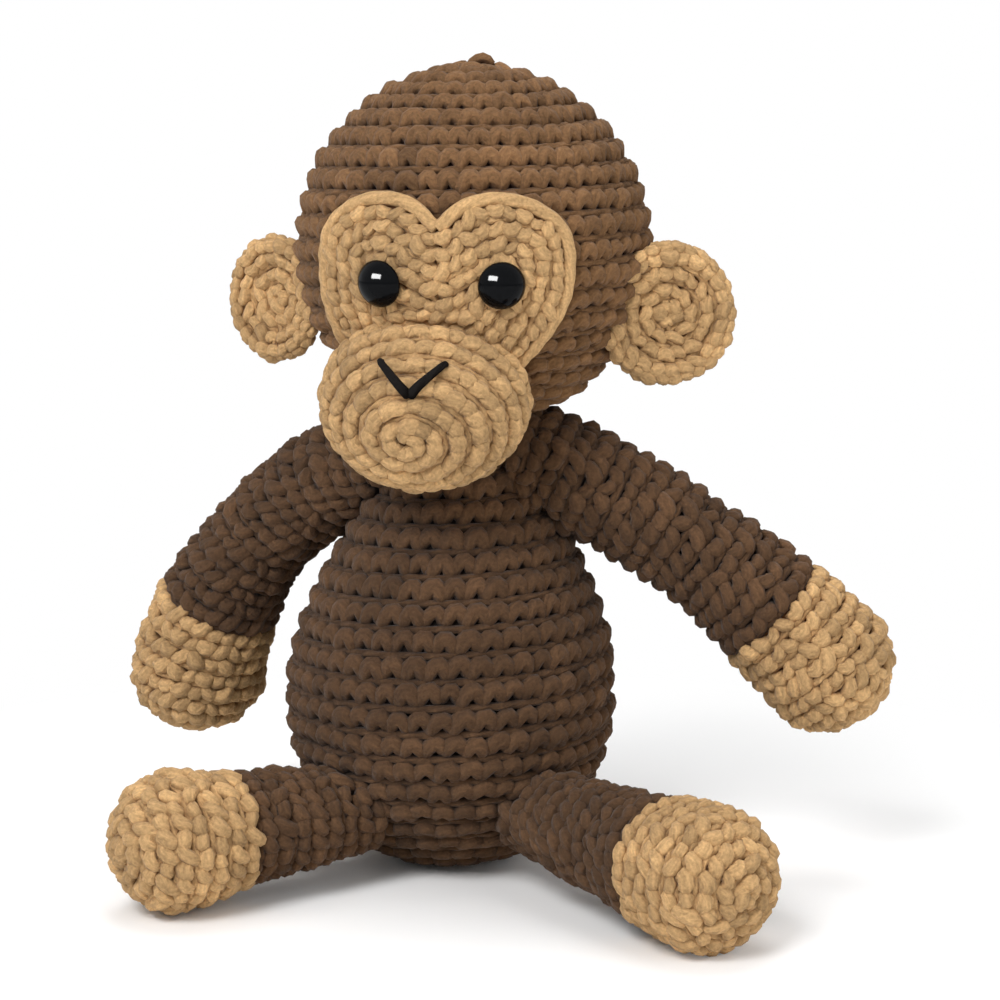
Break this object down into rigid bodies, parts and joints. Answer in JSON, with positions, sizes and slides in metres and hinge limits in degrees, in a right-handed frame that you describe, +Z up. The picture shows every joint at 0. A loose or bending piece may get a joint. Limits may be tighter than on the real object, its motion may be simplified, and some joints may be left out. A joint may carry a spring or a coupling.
{
  "type": "crochet monkey toy",
  "caption": "Sitting stuffed crochet monkey with a round head, heart-shaped face patch, domed muzzle, cupped ears, pear body and soft arms and legs that turn at their seams.",
  "frame": {"origin": "middle of the flat seat, on the floor", "axes": "+X towards the toy's left hand, -Y the way the chest faces, +Z up"},
  "size_m": [0.1569, 0.114, 0.1628],
  "materials": {
    "brown_crochet": "matte crocheted cotton yarn",
    "filling": "loose polyester stuffing",
    "tan_crochet": "matte crocheted cotton yarn",
    "black_yarn": "matte embroidery yarn",
    "black_plastic": "polished",
    "clear_plastic": "plain moulded"
  },
  "bodies": {
    "torso": {"torso_cover": "brown_crochet", "torso_filling": "filling"},
    "neck": {"neck_seam": "brown_crochet"},
    "head": {"head_cover": "brown_crochet", "head_filling": "filling", "crown_yarn_end": "brown_crochet", "face_patch": "tan_crochet", "muzzle_cover": "tan_crochet", "muzzle_filling": "filling", "nose_stitch_left": "black_yarn", "nose_stitch_right": "black_yarn", "eye_left": "black_plastic", "eye_right": "black_plastic", "eye_washer_left": "clear_plastic", "eye_washer_right": "clear_plastic", "ear_left": "tan_crochet", "ear_right": "tan_crochet"},
    "left_shoulder": {"shoulder_seam_left": "brown_crochet"},
    "left_arm": {"arm_left": "brown_crochet", "hand_left": "tan_crochet", "arm_filling_left": "filling"},
    "left_hip": {"hip_seam_left": "brown_crochet"},
    "left_leg": {"leg_left": "brown_crochet", "foot_left": "tan_crochet", "leg_filling_left": "filling"},
    "right_shoulder": {"shoulder_seam_right": "brown_crochet"},
    "right_arm": {"arm_right": "brown_crochet", "hand_right": "tan_crochet", "arm_filling_right": "filling"},
    "right_hip": {"hip_seam_right": "brown_crochet"},
    "right_leg": {"leg_right": "brown_crochet", "foot_right": "tan_crochet", "leg_filling_right": "filling"}
  },
  "joints": [
    {"name": "neck_turn", "type": "hinge", "parent": "torso", "child": "neck", "pos_m": [0.0048, -0.002, 0.1256], "axis": [0, 0, 1], "range_deg": [-8, 28], "stiffness_Nm_per_rad": 0.2},
    {"name": "head_nod", "type": "hinge", "parent": "neck", "child": "head", "pos_m": [0.0048, -0.002, 0.103], "axis": [0.9781, -0.2079, 0], "range_deg": [-8, 5], "stiffness_Nm_per_rad": 1},
    {"name": "left_arm_swing", "type": "hinge", "parent": "torso", "child": "left_shoulder", "pos_m": [0.01677, -0.00574, 0.08315], "axis": [-0.8917, 0.2897, -0.3476], "range_deg": [-10, 10], "stiffness_Nm_per_rad": 0.25},
    {"name": "left_arm_lift", "type": "hinge", "parent": "left_shoulder", "child": "left_arm", "pos_m": [0.01677, -0.00574, 0.08315], "axis": [0, -1, 0], "range_deg": [-3, 7], "stiffness_Nm_per_rad": 0.5, "springref_deg": 1.03},
    {"name": "right_arm_swing", "type": "hinge", "parent": "torso", "child": "right_shoulder", "pos_m": [-0.01108, 0.00018, 0.08315], "axis": [-0.9325, 0.098, 0.3476], "range_deg": [-10, 10], "stiffness_Nm_per_rad": 0.25},
    {"name": "right_arm_lift", "type": "hinge", "parent": "right_shoulder", "child": "right_arm", "pos_m": [-0.01108, 0.00018, 0.08315], "axis": [0, 1, 0], "range_deg": [-3, 7], "stiffness_Nm_per_rad": 0.5, "springref_deg": 0.52},
    {"name": "left_leg_spread", "type": "hinge", "parent": "torso", "child": "left_hip", "pos_m": [0.01667, -0.02134, 0.01503], "axis": [0, 0, 1], "range_deg": [-10, 10], "stiffness_Nm_per_rad": 0.25},
    {"name": "left_leg_raise", "type": "hinge", "parent": "left_hip", "child": "left_leg", "pos_m": [0.01667, -0.02134, 0.01503], "axis": [-0.788, -0.6157, 0], "range_deg": [0, 15], "stiffness_Nm_per_rad": 0.6},
    {"name": "right_leg_spread", "type": "hinge", "parent": "torso", "child": "right_hip", "pos_m": [-0.01881, -0.01948, 0.01503], "axis": [0, 0, -1], "range_deg": [-10, 10], "stiffness_Nm_per_rad": 0.25},
    {"name": "right_leg_raise", "type": "hinge", "parent": "right_hip", "child": "right_leg", "pos_m": [-0.01881, -0.01948, 0.01503], "axis": [-0.7193, 0.6947, 0], "range_deg": [0, 15], "stiffness_Nm_per_rad": 0.6}
  ]
}
